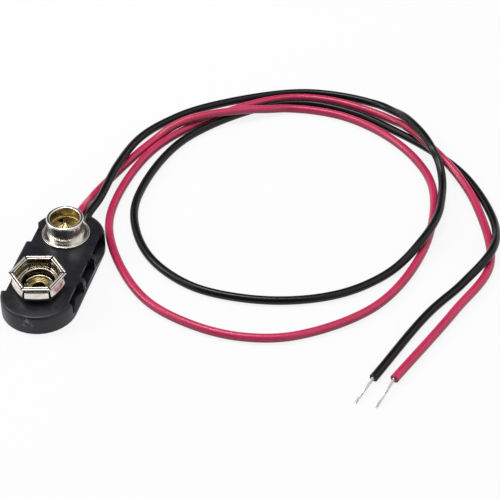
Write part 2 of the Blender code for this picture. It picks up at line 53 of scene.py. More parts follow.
# Leads
BLACK_LEAD_DIAMETER = 0.00131
RED_LEAD_DIAMETER = 0.00135
CORD_STEP = 0.0005
CORD_SIDES = 24
ROUTE_STEPS = 24
BLACK_ROUTE = (
    (0.0011, 0.0099, 0.00145), (0.0012, 0.0111, 0.00185), (0.0013, 0.0128, 0.00236),
    (0.00174, 0.01741, 0.00206), (0.00206, 0.02602, 0.00214), (0.00324, 0.03472, 0.00132),
    (0.0063, 0.0411, 0.00066), (0.01198, 0.04664, 0.00066), (0.02638, 0.05404, 0.00066),
    (0.0384, 0.0538, 0.0007), (0.04171, 0.05184, 0.00129), (0.04439, 0.04874, 0.00271),
    (0.04688, 0.04543, 0.00352), (0.0488, 0.0430, 0.00352), (0.0503, 0.0408, 0.00322),
    (0.0516, 0.0391, 0.00235), (0.05283, 0.03581, 0.00137), (0.05356, 0.03061, 0.00162),
    (0.0537, 0.0262, 0.00197), (0.0526, 0.0204, 0.00208), (0.0492, 0.0135, 0.00078),
    (0.0437, 0.0073, 0.00066), (0.0368, 0.0036, 0.00066), (0.0288, 0.0020, 0.00066),
    (0.0207, 0.0027, 0.00066), (0.0135, 0.0068, 0.00066), (0.0089, 0.0131, 0.00066),
    (0.0069, 0.0206, 0.00066), (0.00987, 0.03633, 0.00066), (0.02048, 0.04842, 0.00066),
    (0.02752, 0.05116, 0.00066), (0.0361, 0.0503, 0.00066), (0.04342, 0.04714, 0.00066),
    (0.05014, 0.04337, 0.00066), (0.05662, 0.03781, 0.00066), (0.06236, 0.02802, 0.00082),
    (0.06312, 0.02001, 0.00213), (0.05987, 0.0130, 0.0008), (0.0560, 0.0054, 0.00066),
    (0.0508, -0.0097, 0.00066),
)
RED_ROUTE = (
    (-0.0007, 0.0029, 0.00126), (-0.0021, 0.0045, 0.00126), (-0.0027, 0.0067, 0.00126),
    (-0.00206, 0.00866, 0.00128), (-0.00062, 0.0105, 0.0015), (-0.00006, 0.0130, 0.0024),
    (-0.00004, 0.0186, 0.00077), (0.00095, 0.02268, 0.00068), (0.00517, 0.03488, 0.00068),
    (0.00748, 0.03831, 0.00151), (0.01039, 0.0408, 0.00209), (0.01744, 0.04505, 0.00192),
    (0.02146, 0.04743, 0.00112), (0.0252, 0.0491, 0.00069), (0.0335, 0.0492, 0.00068),
    (0.0413, 0.0461, 0.00068), (0.0478, 0.0406, 0.00068), (0.05174, 0.03379, 0.00068),
    (0.05286, 0.0195, 0.00068), (0.0483, 0.0052, 0.00068), (0.0384, -0.0038, 0.00068),
    (0.0304, -0.0061, 0.00068), (0.0222, -0.0052, 0.00068), (0.0145, -0.0016, 0.00068),
    (0.0068, 0.0079, 0.00068), (0.0039, 0.0164, 0.00068), (0.00582, 0.03259, 0.00068),
    (0.0130, 0.04352, 0.00068), (0.0225, 0.0512, 0.00068), (0.0310, 0.05287, 0.00068),
    (0.04284, 0.04966, 0.00077), (0.04563, 0.04685, 0.00185), (0.04781, 0.04462, 0.00219),
    (0.0498, 0.0428, 0.0020), (0.0522, 0.0404, 0.00192), (0.0556, 0.0369, 0.0012),
    (0.05917, 0.03129, 0.00068), (0.06318, 0.01829, 0.00068), (0.0597, 0.0068, 0.00068),
    (0.0537, -0.0092, 0.00068),
)
# Far ends of the bare strands, which droop to the surface
BLACK_STRAND_TIP = (0.0492, -0.0149, 0.00025)
RED_STRAND_TIP = (0.0522, -0.0152, 0.00025)

# The insulation's ends: the hole round the strands, its depth and the rounded edge
END_HOLE_RADIUS = 0.00024
END_HOLE_DEPTH = 0.0006
END_EDGE_ROUND = 0.00004

# Bare strands: six wires twisted round a seventh
WIRE_COUNT = 7
WIRE_DIAMETER = 0.00015
WIRE_SIDES = 10
WIRE_STEP = 0.00009
WIRE_LOWEST = 0.00002
TWIST_RADIUS = 0.00014
TWIST_PITCH = 0.0024
# As shares: where the strands start in their hole and bend down, and where the twist gets
# looser and by how much
STRAND_START = 0.9
STRAND_BEND = 0.35
LOOSE_FROM = 0.75
LOOSENING = 0.25
# The wires end unevenly, a few steps apart, each with a small flat tip measured in diameters
TIP_STAGGER = 5
TIP_INSET = 0.3
TIP_RADIUS = 0.35

# Contacts: places and sizes
CONTACT_X = -0.0002
STUD_Y = 0.00675
SOCKET_Y = -0.00595
CONTACT_SEAT = 0.00325

# Stud
STUD_HEIGHT = 0.00325
STUD_RIM_RADIUS = 0.00285
STUD_MOUTH_RADIUS = 0.00227
STUD_RIM_ROLL = 0.00020
STUD_RIM_TUCK = 1.6 * STUD_RIM_ROLL
STUD_WALL_RADIUS = 0.00272
STUD_FILLET = 0.00010
STUD_FLANGE_RADIUS = 0.00366
STUD_FLANGE_TOP = 0.00028
STUD_FLANGE_BEAD = 0.00009
STUD_INNER_BEAD = 0.00005
STUD_INNER_BEAD_RADIUS = 0.00334
STUD_INNER_BEAD_FOOT = 1.3 * STUD_INNER_BEAD
STUD_BEAD_PROUD = 0.00003
STUD_SHEET = 0.00024
STUD_FLOOR_HEIGHT = 0.00165
# Points this close to a bend keep the flat beside it flat under smooth shading
STUD_FLAT_EDGE = 0.00003

# Socket
SOCKET_HEIGHT = 0.00315
SOCKET_TURN = radians(-15.4)
SOCKET_LIP_FLAT = 0.00374
SOCKET_LIP_ROLL = 0.00014
SOCKET_LIP_WIDTH = 0.00066
SOCKET_LIP_DIP = 0.00010
SOCKET_LIP_TUCK = 1.6 * SOCKET_LIP_ROLL
SOCKET_LIP_INNER_TUCK = 2.2 * SOCKET_LIP_ROLL
SOCKET_WAIST_FLAT = 0.00320
SOCKET_WAIST_HEIGHT = 0.0025
SOCKET_FACE_TOP_FLAT = 0.003377
SOCKET_FACE_TOP = 0.00204
SOCKET_SHOULDER_FLAT = 0.00364
SOCKET_SHOULDER_HEIGHT = 0.00118
SOCKET_SHOULDER_SQUARENESS = 0.6
SOCKET_BELLY_ANGLES = range(-12, -91, -13)
SOCKET_FLOOR_RADIUS = 0.0023
SOCKET_SHEET = 0.00024
SOCKET_STEP_RADIUS = 0.00256
SOCKET_STEP_HEIGHT = 0.00172
SOCKET_RING_RADIUS = 0.00210
SOCKET_RING_HEIGHT = 0.00075
SOCKET_BULGE = 0.00030
SOCKET_BULGE_HEIGHT = 0.00225
# Shares of a petal's face at which it has rows of points
PETAL_ROWS = (0.0, 0.06, 0.94, 1.0)
PETAL_COUNT = 6
SLOT_LIP_WIDTH = 0.00026
SLOT_FOOT_WIDTH = 0.00042
SLOT_FOOT_HEIGHT = 0.00128
SLOT_INNER = 0.00275
RING_GAP_ANGLE = radians(178)
RING_GAP_WIDTH = 0.0005
RING_GAP_REACH = (0.00148, 0.00235)
RING_GAP_HEIGHTS = (0.00026, 0.0010)

# Eyelets
EYELET_STEM_RADIUS = 0.00116
EYELET_SHEET = 0.0002
EYELET_HOLE_RADIUS = 0.00126
EYELET_FOOT_Z = 0.0019
SOCKET_EYELET_RIM = 0.00185
SOCKET_EYELET_GROOVE = 0.00142
SOCKET_EYELET_DIP = 1.4 * EYELET_SHEET
STUD_HOLE_RADIUS = 0.0018
CLOSED_BORE = 0.00012
UMBRELLA_REACH = 0.00200
UMBRELLA_RISE = 0.00062
UMBRELLA_CURVE = 0.75
# Splits of the umbrella: angle and width. Its wide gap: where the sides meet, and their angles
UMBRELLA_SPLITS = ((20, 0.00012), (215, 0.00016), (262, 0.00016), (318, 0.00014))
GAP_APEX = (-0.00032, -0.00018)
GAP_SIDES = (radians(104), radians(150))

# Light of the room from the horizon, at 0, to straight overhead, at 1, and its dark patches: a
# direction, how near to it (as a cosine) the patch is full, where it ends, and the share of
# light left
ROOM_LIGHT = ((0.0, 0.85), (0.30, 0.80), (0.80, 1.0), (1.0, 1.0))
DARK_PATCHES = (
    ((-0.182, 0.730, 0.659), 0.93, 0.80, 0.06),
    ((-0.020, -0.770, 0.638), 0.90, 0.72, 0.06),
)

# Area lamps: name, place, size and power
LAMP_AIM = (0.03, 0.02, 0.0)
LAMPS = (
    ("key_lamp", (-0.10, 0.10, 0.56), (0.22, 0.22), 1.2),
    ("left_lamp", (-0.40, -0.02, 0.30), (0.16, 0.26), 0.6),
)

# Floor: its shade, and how much of it is an even glow where the camera or a mirror sees it
FLOOR_HALF_SIZE = 1.5
FLOOR_Z = -0.00001
FLOOR_SHADE = 0.86
FLOOR_GLOW = 0.86

# Insulation: darkest and lightest tint, roughness and specular level. Underneath, painted shade
# darkens it: the share of the tint by how far the surface faces up
RED_PVC = ((0.50, 0.020, 0.083), (0.66, 0.036, 0.125), 0.25, 0.50)
BLACK_PVC = ((0.0030, 0.0024, 0.0034), (0.0068, 0.0056, 0.0074), 0.25, 0.31)
UNDERSIDE_PAINTED_SHADE = ((0.0, 0.42), (0.45, 0.78), (0.85, 1.0))

# Inside the socket: share of bare brass by height
BRASS_BAND = ((0.56, 0.0), (0.62, 0.9), (0.74, 0.8), (0.80, 0.0))

# Marks on the housing, and a painted reflection on its top
EDGE_SOFTNESS = 0.00007
END_SCUFF = (-0.0001, -0.0124, 0.0021)
TOP_PAINTED_REFLECTION = (0.0027, 0.0022, 0.0032)

# Copies of solids: verts this close are one, and faces this near to flat are merged
WELD = 0.0000005
FLAT_ANGLE = radians(0.2)

# Points of a turn and of an arc, and the angle from which an edge is shaded sharp
TURN_STEPS = 144
ARC_STEPS = 8
SHARP_ANGLE = radians(32)


def add_camera():
    """Looks down at the object from the photograph's direction."""
    back = Vector((sin(CAMERA_AZIMUTH) * cos(CAMERA_ELEVATION),
                   -cos(CAMERA_AZIMUTH) * cos(CAMERA_ELEVATION), sin(CAMERA_ELEVATION)))
    right = Vector((cos(CAMERA_AZIMUTH), sin(CAMERA_AZIMUTH), 0.0))
    up = back.cross(right)
    data = bpy.data.cameras.new("camera")
    data.lens = CAMERA_LENS
    data.sensor_width = CAMERA_SENSOR
    data.clip_start = CAMERA_NEAR
    camera = bpy.data.objects.new("camera", data)
    turn = Matrix((right, up, back)).transposed().to_4x4()
    camera.matrix_world = Matrix.Translation(Vector(CAMERA_PLACE)) @ turn
    bpy.context.scene.collection.objects.link(camera)
    bpy.context.scene.camera = camera


def fill_ramp(ramp, stops):
    """Colours, or grey values, at their places along a ramp."""
    while len(ramp.elements) < len(stops):
        ramp.elements.new(0.5)
    for element, (place, colour) in zip(ramp.elements, stops):
        element.position = place
        shade = colour if isinstance(colour, tuple) else (colour, colour, colour)
        element.color = (*shade, 1.0)


def smooth_step(tree, value, start, end, low, high):
    """Goes smoothly from low, where the value is start, to high, where it is end."""
    made = tree.nodes.new("ShaderNodeMapRange")
    made.interpolation_type = "SMOOTHSTEP"
    for name, number in (("From Min", start), ("From Max", end), ("To Min", low), ("To Max", high)):
        made.inputs[name].default_value = number
    tree.links.new(value, made.inputs["Value"])
    return made.outputs["Result"]


class Paint:
    """A procedural material: one Principled shader and the nodes that feed it."""

    def __init__(self, name, roughness, metallic=0.0, specular=0.5):
        self.material = bpy.data.materials.new(name)
        self.material.use_nodes = True
        self.tree = self.material.node_tree
        self.shader = self.tree.nodes["Principled BSDF"]
        self.shader.inputs["Metallic"].default_value = metallic
        self.shader.inputs["Roughness"].default_value = roughness
        self.shader.inputs["Specular IOR Level"].default_value = specular
        self.place = self.tree.nodes.new("ShaderNodeTexCoord")

    def noise(self, scale, detail=4.0, stretch=(1, 1, 1), source="Object", distortion=0.0):
        """Noise in lumps of about 1/scale of the source's unit, squeezed along its axes."""
        mapping = self.tree.nodes.new("ShaderNodeMapping")
        mapping.inputs["Scale"].default_value = stretch
        self.tree.links.new(self.place.outputs[source], mapping.inputs["Vector"])
        made = self.tree.nodes.new("ShaderNodeTexNoise")
        made.inputs["Scale"].default_value = scale
        made.inputs["Detail"].default_value = detail
        made.inputs["Distortion"].default_value = distortion
        self.tree.links.new(mapping.outputs["Vector"], made.inputs["Vector"])
        return made.outputs["Fac"]

    def height(self, top):
        """Height above the piece's own origin, as a share of top."""
        split = self.tree.nodes.new("ShaderNodeSeparateXYZ")
        self.tree.links.new(self.place.outputs["Object"], split.inputs[0])
        share = self.tree.nodes.new("ShaderNodeMath")
        share.operation = "DIVIDE"
        share.inputs[1].default_value = top
        self.tree.links.new(split.outputs["Z"], share.inputs[0])
        return share.outputs[0]

    def near(self, point, full, end):
        """1 up to full metres from a point, and 0 from end metres on."""
        away = self.tree.nodes.new("ShaderNodeVectorMath")
        away.operation = "DISTANCE"
        away.inputs[1].default_value = point
        self.tree.links.new(self.place.outputs["Object"], away.inputs[0])
        return smooth_step(self.tree, away.outputs["Value"], full, end, 1.0, 0.0)

    def facing(self, direction):
        """1 where the surface faces straight along a direction, and 0 or less where it is
        square to it or turned away."""
        made = self.tree.nodes.new("ShaderNodeVectorMath")
        made.operation = "DOT_PRODUCT"
        made.inputs[1].default_value = direction
        self.tree.links.new(self.place.outputs["Normal"], made.inputs[0])
        return made.outputs["Value"]

    def ramp(self, value, *stops):
        """Colours, or grey values, at their places along a value."""
        made = self.tree.nodes.new("ShaderNodeValToRGB")
        fill_ramp(made.color_ramp, stops)
        self.tree.links.new(value, made.inputs["Fac"])
        return made.outputs["Color"]

    def mix(self, share, first, second, kind="MIX"):
        """The first colour at share 0, and the second, or their blend of that kind, at 1."""
        made = self.tree.nodes.new("ShaderNodeMix")
        made.data_type = "RGBA"
        made.blend_type = kind
        sockets = (made.inputs["Factor"], made.inputs[6], made.inputs[7])
        for socket, value in zip(sockets, (share, first, second)):
            if isinstance(value, bpy.types.NodeSocket):
                self.tree.links.new(value, socket)
            elif isinstance(value, tuple):
                socket.default_value = (*value, 1.0)
            else:
                socket.default_value = value
        return made.outputs[2]

    def colour(self, value):
        self.tree.links.new(value, self.shader.inputs["Base Color"])

    def roughness(self, value):
        self.tree.links.new(value, self.shader.inputs["Roughness"])

    def soften_edges(self, radius):
        """Lets light round the edges off. It comes before any relief."""
        made = self.tree.nodes.new("ShaderNodeBevel")
        made.samples = 6
        made.inputs["Radius"].default_value = radius
        self.tree.links.new(made.outputs["Normal"], self.shader.inputs["Normal"])

    def bump(self, height, depth, strength=1.0):
        """Relief of the given depth in metres, on top of any that was added before."""
        made = self.tree.nodes.new("ShaderNodeBump")
        made.inputs["Distance"].default_value = depth
        made.inputs["Strength"].default_value = strength
        self.tree.links.new(height, made.inputs["Height"])
        before = self.shader.inputs["Normal"].links
        if before:
            self.tree.links.new(before[0].from_socket, made.inputs["Normal"])
        self.tree.links.new(made.outputs["Normal"], self.shader.inputs["Normal"])


def paint_housing():
    """Black moulded plastic: clouding, dust, one scuffed end, and a lighter patch on the top that is a
    painted reflection.
    """
    paint = Paint("moulded_plastic", 0.35, specular=0.36)
    cloud = paint.noise(260, 5)
    base = paint.ramp(cloud, (0.30, (0.0085, 0.0083, 0.0120)), (0.70, (0.0150, 0.0147, 0.0200)))
    dust = paint.ramp(paint.noise(3600, 3, distortion=0.4), (0.68, 0.0), (0.78, 1.0))
    scratches = paint.ramp(paint.noise(2300, 5, distortion=0.5), (0.50, 0.0), (0.60, 1.0))
    scuff = paint.mix(1.0, scratches, paint.near(END_SCUFF, 0.0006, 0.0014), "MULTIPLY")
    # A lighter grey patch on the top near its centre point is a painted reflection
    reflection_blotches = paint.ramp(cloud, (0.35, 0.25), (0.65, 1.0))
    painted_reflection = paint.mix(1.0, reflection_blotches, paint.near(TOP_PAINTED_REFLECTION, 0.0002, 0.0015), "MULTIPLY")
    base = paint.mix(painted_reflection, base, (0.060, 0.058, 0.060))
    base = paint.mix(scuff, base, (0.135, 0.130, 0.140))
    paint.colour(paint.mix(dust, base, (0.050, 0.049, 0.055)))
    paint.soften_edges(EDGE_SOFTNESS)
    paint.roughness(paint.ramp(paint.noise(700, 5), (0.3, 0.26), (0.7, 0.42)))
    paint.bump(paint.noise(2600, 3), 0.000012, 0.5)
    paint.bump(paint.noise(420, 2), 0.00004, 0.35)
    return paint.material


def paint_nickel():
    """Bright plate, a little cloudy."""
    paint = Paint("nickel_plate", 0.12, metallic=1.0)
    cloud = paint.noise(900, 5, distortion=0.4)
    paint.colour(paint.ramp(cloud, (0.32, (0.66, 0.615, 0.55)), (0.62, (0.84, 0.80, 0.745))))
    paint.roughness(paint.ramp(paint.noise(1500, 5), (0.30, 0.15), (0.72, 0.25)))
    paint.bump(paint.noise(700, 2), 0.000010, 0.35)
    return paint.material


def paint_plate_in_painted_shade():
    """Inside the socket: plate made dark with painted shade, and a band of bare brass colour partway
    up.
    """
    paint = Paint("plate_in_painted_shade", 0.25, metallic=1.0)
    cloud = paint.noise(1500, 4, distortion=0.6)
    # Painted shade: the dark plate colour inside the cup, in its groove and on its cut faces
    painted_shade = paint.ramp(cloud, (0.34, (0.032, 0.022, 0.013)), (0.66, (0.19, 0.15, 0.095)))
    bare = paint.ramp(paint.noise(1100, 4), (0.30, (0.21, 0.155, 0.055)), (0.70, (0.42, 0.34, 0.16)))
    brass_band = paint.ramp(paint.height(SOCKET_HEIGHT), *BRASS_BAND)
    paint.colour(paint.mix(brass_band, painted_shade, bare))
    paint.roughness(paint.ramp(paint.noise(1700, 4), (0.30, 0.16), (0.72, 0.32)))
    paint.bump(paint.noise(1300, 3), 0.000012, 0.4)
    return paint.material


def paint_brass():
    """Bare metal, mottled from dull to bright."""
    paint = Paint("bare_brass", 0.2, metallic=1.0)
    cloud = paint.noise(1100, 5, distortion=0.5)
    paint.colour(paint.ramp(cloud, (0.30, (0.25, 0.178, 0.065)), (0.52, (0.45, 0.345, 0.145)),
                            (0.74, (0.74, 0.62, 0.34))))
    paint.roughness(paint.ramp(paint.noise(1900, 5), (0.30, 0.27), (0.72, 0.42)))
    paint.bump(paint.noise(1300, 3), 0.000012, 0.4)
    return paint.material


def paint_tinned():
    """Tin on the strands and on the pieces inside."""
    paint = Paint("tinned_copper", 0.28, metallic=1.0)
    cloud = paint.noise(2600, 4)
    paint.colour(paint.ramp(cloud, (0.30, (0.60, 0.585, 0.57)), (0.66, (0.90, 0.89, 0.87))))
    paint.roughness(paint.ramp(paint.noise(3600, 4), (0.30, 0.20), (0.70, 0.42)))
    paint.bump(paint.noise(5200, 3), 0.000008, 0.4)
    return paint.material


def paint_insulation(name, low, high, roughness, specular):
    """Soft extruded plastic: faint clouding, streaks along the lead, a fine skin and painted shade
    that darkens its underside."""
    paint = Paint(name, roughness, specular=specular)
    cloud = paint.noise(170, 4)
    streak = paint.noise(3.0, 3, stretch=(0.12, 5.0, 1.0), source="UV")
    tint = paint.mix(0.35, paint.ramp(cloud, (0.32, low), (0.68, high)),
                     paint.ramp(streak, (0.35, low), (0.65, high)))
    # Painted shade: the tint is darker where the surface faces down
    painted_underside_shade = paint.ramp(paint.facing((0.0, 0.0, 1.0)), *UNDERSIDE_PAINTED_SHADE)
    paint.colour(paint.mix(1.0, tint, painted_underside_shade, "MULTIPLY"))
    skin = paint.noise(900, 4)
    paint.roughness(paint.ramp(skin, (0.30, roughness - 0.05), (0.70, roughness + 0.06)))
    paint.bump(paint.noise(3.0, 3, stretch=(0.5, 3.0, 1.0), source="UV"), 0.000012, 0.5)
    paint.bump(paint.noise(2100, 3), 0.000006, 0.4)
    return paint.material


def arc(centre_r, centre_z, radius, start, end, steps=ARC_STEPS):
    """Points of a profile on an arc, from one angle in degrees to another."""
    points = []
    for step in range(steps + 1):
        angle = radians(start + (end - start) * step / steps)
        points.append((centre_r + radius * cos(angle), centre_z + radius * sin(angle)))
    return points


def add_piece(name, work, paints, location=(0.0, 0.0, 0.0)):
    """Makes an object of a bmesh, shaded smooth except at sharp edges."""
    mesh = bpy.data.meshes.new(name)
    work.to_mesh(mesh)
    work.free()
    for paint in paints:
        mesh.materials.append(paint)
    mesh.shade_smooth()
    mesh.set_sharp_from_angle(angle=SHARP_ANGLE)
    thing = bpy.data.objects.new(name, mesh)
    thing.location = location
    bpy.context.scene.collection.objects.link(thing)
    return thing


def turned(name, profile, paints, location, plan=None, inner=None):
    """A closed profile of (r, z) points turned about +Z. plan stretches it by angle, and inner
    tells which faces take the second paint."""
    work = bmesh.new()
    rings = []
    for step in range(TURN_STEPS):
        angle = 2 * pi * step / TURN_STEPS
        ring = []
        for r, z in profile:
            reach = r * plan(angle, r, z) if plan else r
            ring.append(work.verts.new((reach * cos(angle), reach * sin(angle), z)))
        rings.append(ring)
    for step, here in enumerate(rings):
        there = rings[(step + 1) % TURN_STEPS]
        for k, (r, z) in enumerate(profile):
            following = (k + 1) % len(profile)
            face = work.faces.new((here[k], there[k], there[following], here[following]))
            if inner and inner(0.5 * (r + profile[following][0]), 0.5 * (z + profile[following][1])):
                face.material_index = 1
    bmesh.ops.recalc_face_normals(work, faces=work.faces)
    return add_piece(name, work, paints, location)


def cut(body, tool):
    """Cuts the tool out of the body, and removes the tool."""
    change = body.modifiers.new("cut", "BOOLEAN")
    change.operation = "DIFFERENCE"
    change.solver = "EXACT"
    change.material_mode = "TRANSFER"
    change.object = tool
    bpy.context.view_layer.update()
    graph = bpy.context.evaluated_depsgraph_get()
    shape = bpy.data.meshes.new_from_object(body.evaluated_get(graph))
    body.modifiers.clear()
    body.data = shape
    bpy.data.objects.remove(tool, do_unlink=True)
    shape.shade_smooth()
    shape.set_sharp_from_angle(angle=SHARP_ANGLE)


def prism(name, outline, x_ends, paint):
    """A cutter: an outline of (y, z) points pushed along X from one end to the other."""
    work = bmesh.new()
    near, far = ([work.verts.new((x, y, z)) for y, z in outline] for x in x_ends)
    work.faces.new(near)
    work.faces.new(far)
    for k in range(len(outline)):
        following = (k + 1) % len(outline)
        work.faces.new((near[k], near[following], far[following], far[k]))
    bmesh.ops.recalc_face_normals(work, faces=work.faces)
    return add_piece(name, work, [paint])


def smooth_route(points):
    """Closely spaced points on a smooth curve through the given ones."""
    knots = [Vector(p) for p in points]
    knots = [2 * knots[0] - knots[1]] + knots + [2 * knots[-1] - knots[-2]]
    dense = []
    for a, b, c, d in zip(knots, knots[1:], knots[2:], knots[3:]):
        t1 = sqrt((b - a).length)
        t2 = t1 + sqrt((c - b).length)
        t3 = t2 + sqrt((d - c).length)
        for step in range(ROUTE_STEPS):
            t = t1 + (t2 - t1) * step / ROUTE_STEPS
            near = a.lerp(b, t / t1)
            middle = b.lerp(c, (t - t1) / (t2 - t1))
            far = c.lerp(d, (t - t2) / (t3 - t2))
            first = near.lerp(middle, t / t2)
            second = middle.lerp(far, (t - t1) / (t3 - t1))
            dense.append(first.lerp(second, (t - t1) / (t2 - t1)))
    dense.append(Vector(points[-1]))
    return dense


def distances(points):
    """The way travelled along a line of points, at each of them."""
    travelled = [0.0]
    for a, b in zip(points, points[1:]):
        travelled.append(travelled[-1] + (b - a).length)
    return travelled


def spaced(dense, gap):
    """Evenly spaced points along a line of points, about gap apart, and its length."""
    travelled = distances(dense)
    count = round(travelled[-1] / gap)
    even = []
    k = 0
    for step in range(count + 1):
        goal = travelled[-1] * step / count
        while k < len(dense) - 2 and travelled[k + 1] < goal:
            k += 1
        share = (goal - travelled[k]) / (travelled[k + 1] - travelled[k])
        even.append(dense[k].lerp(dense[k + 1], min(share, 1.0)))
    return even, travelled[-1]


def frames_along(points):
    """A direction and a sideways vector at each point, turned as little as possible."""
    ways = []
    for k in range(len(points)):
        before = points[max(k - 1, 0)]
        after = points[min(k + 1, len(points) - 1)]
        ways.append((after - before).normalized())
    side = ways[0].cross(Vector((0.0, 0.0, 1.0))).normalized()
    frames = []
    for way in ways:
        side = (side - way * side.dot(way)).normalized()
        frames.append((way, side))
    return frames


def sweep(work, points, rings, sides, uv=None):
    """A closed tube of rings of verts along the points. rings gives, for each ring, its point's
    number, its shift along the line and its radius. uv takes the way travelled, in mm, and the
    turn."""
    frames = frames_along(points)
    travelled = distances(points)
    before = None
    for number, shift, radius in rings:
        way, side = frames[number]
        up = way.cross(side)
        centre = points[number] + way * shift
        ring = []
        for step in range(sides):
            angle = 2 * pi * step / sides
            ring.append(work.verts.new(centre + radius * (side * cos(angle) + up * sin(angle))))
        here = travelled[number] + shift
        if before:
            old_ring, old_here = before
            for step in range(sides):
                following = (step + 1) % sides
                corners = (old_ring[step], old_ring[following], ring[following], ring[step])
                face = work.faces.new(corners)
                if uv:
                    marks = ((old_here, step), (old_here, step + 1), (here, step + 1), (here, step))
                    for loop, (along, turn) in zip(face.loops, marks):
                        loop[uv].uv = (1000 * along, turn / sides)
        else:
            work.faces.new(ring)
        before = (ring, here)
    work.faces.new(before[0])


def dress(piece, node):
    """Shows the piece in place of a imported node."""
    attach(piece, "root")
    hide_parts(node)


def build_insulation(name, points, radius, paint):
    """The insulation, cut off square at its far end, with a hole for the strands."""
    work = bmesh.new()
    uv = work.loops.layers.uv.new("along")
    last = len(points) - 1
    rings = [(0, 0.0, radius - END_EDGE_ROUND), (0, END_EDGE_ROUND, radius)]
    rings += [(k, 0.0, radius) for k in range(1, last)]
    rings += [(last, -END_EDGE_ROUND, radius), (last, 0.0, radius - END_EDGE_ROUND)]
    rings += [(last, 0.0, END_HOLE_RADIUS), (last, -END_HOLE_DEPTH, END_HOLE_RADIUS)]
    sweep(work, points, rings, CORD_SIDES, uv)
    bmesh.ops.recalc_face_normals(work, faces=work.faces)
    return add_piece(name + "_cord", work, [paint])


def build_strands(name, points, tip, paint):
    """The twisted wires, from inside the insulation's end to the tip."""
    way = (points[-1] - points[-2]).normalized()
    start = points[-1] - STRAND_START * way * END_HOLE_DEPTH
    bundle = [start, points[-1], points[-1].lerp(Vector(tip), STRAND_BEND), Vector(tip)]
    line, run = spaced(smooth_route(bundle), WIRE_STEP)
    frames = frames_along(line)
    work = bmesh.new()
    for wire in range(WIRE_COUNT):
        wire_points = []
        for k, centre in enumerate(line):
            along = run * k / (len(line) - 1)
            angle = 2 * pi * (wire / (WIRE_COUNT - 1) + along / TWIST_PITCH)
            loosen = 1 + LOOSENING * max(0.0, along / run - LOOSE_FROM) / (1 - LOOSE_FROM)
            reach = 0.0 if wire == WIRE_COUNT - 1 else TWIST_RADIUS * loosen
            heading, side = frames[k]
            up = heading.cross(side)
            wire_points.append(centre + reach * (side * cos(angle) + up * sin(angle)))
        stop = len(line) - 1 - (wire * TIP_STAGGER) % WIRE_COUNT
        rings = [(k, 0.0, WIRE_DIAMETER / 2) for k in range(stop)]
        rings.append((stop, -TIP_INSET * WIRE_DIAMETER, TIP_RADIUS * WIRE_DIAMETER))
        sweep(work, wire_points, rings, WIRE_SIDES)
    bmesh.ops.recalc_face_normals(work, faces=work.faces)
    for vert in work.verts:
        vert.co.z = max(vert.co.z, WIRE_LOWEST)
    return add_piece(name + "_strand_bundle", work, [paint])


def build_cord(name, route, diameter, tip, insulation, metal):
    """A lead that lies on the surface or above it, with its bare strands."""
    dense = [Vector((p.x, p.y, max(p.z, diameter / 2))) for p in smooth_route(route)]
    points, length = spaced(dense, CORD_STEP)
    cord = build_insulation(name, points, diameter / 2, insulation)
    strands = build_strands(name, points, tip, metal)
    dress(cord, name + "_lead")
    dress(strands, name + "_strands")


def stud_profile():
    """From the rim's inner side over the roll, down the wall, out along the flange and back."""
    roll_z = STUD_HEIGHT - STUD_RIM_ROLL
    roll_r = 0.5 * (STUD_RIM_RADIUS + STUD_MOUTH_RADIUS)
    half_width = 0.5 * (STUD_RIM_RADIUS - STUD_MOUTH_RADIUS)
    bead_r = STUD_FLANGE_RADIUS - STUD_FLANGE_BEAD
    bead_top = STUD_FLANGE_TOP + STUD_BEAD_PROUD
    fillet_r = STUD_WALL_RADIUS + STUD_FILLET
    inner_wall = STUD_WALL_RADIUS - STUD_SHEET
    profile = []
    for r, z in arc(0.0, 0.0, 1.0, 180, -60, 3 * ARC_STEPS):
        profile.append((roll_r + half_width * r, roll_z + STUD_RIM_ROLL * z))
    wall_top = roll_z - STUD_RIM_TUCK
    flat_end = STUD_INNER_BEAD_RADIUS - STUD_INNER_BEAD_FOOT
    profile.append((STUD_WALL_RADIUS, wall_top))
    profile.append((STUD_WALL_RADIUS, wall_top - STUD_FLAT_EDGE))
    profile.append((STUD_WALL_RADIUS, STUD_FLANGE_TOP + STUD_FILLET + STUD_FLAT_EDGE))
    profile += arc(fillet_r, STUD_FLANGE_TOP + STUD_FILLET, STUD_FILLET, 180, 268)
    profile.append((fillet_r + STUD_FLAT_EDGE, STUD_FLANGE_TOP))
    profile.append((flat_end - STUD_FLAT_EDGE, STUD_FLANGE_TOP))
    profile.append((flat_end, STUD_FLANGE_TOP))
    profile += arc(STUD_INNER_BEAD_RADIUS, bead_top - STUD_INNER_BEAD, STUD_INNER_BEAD, 160, 10)
    profile += arc(bead_r, bead_top - STUD_FLANGE_BEAD, STUD_FLANGE_BEAD, 165, -80)
    profile.append((bead_r, 0.0))
    profile.append((fillet_r, 0.0))
    profile.append((inner_wall, STUD_FILLET))
    profile.append((inner_wall, STUD_FLOOR_HEIGHT - STUD_SHEET))
    profile.append((STUD_HOLE_RADIUS, STUD_FLOOR_HEIGHT - STUD_SHEET))
    profile.append((STUD_HOLE_RADIUS, STUD_FLOOR_HEIGHT))
    profile += arc(STUD_MOUTH_RADIUS - STUD_SHEET, STUD_FLOOR_HEIGHT + STUD_SHEET, STUD_SHEET, 270, 360)
    return profile


def build_stud(nickel, inside):
    """The stud, with its inner side below the rim in the second paint."""
    def is_inside(r, z):
        below_rim = z < STUD_HEIGHT - 0.6 * STUD_RIM_ROLL
        return r < STUD_MOUTH_RADIUS + 0.5 * STUD_RIM_ROLL and below_rim

    place = (CONTACT_X, STUD_Y, CONTACT_SEAT)
    return turned("stud_shell", stud_profile(), [nickel, inside], place, inner=is_inside)


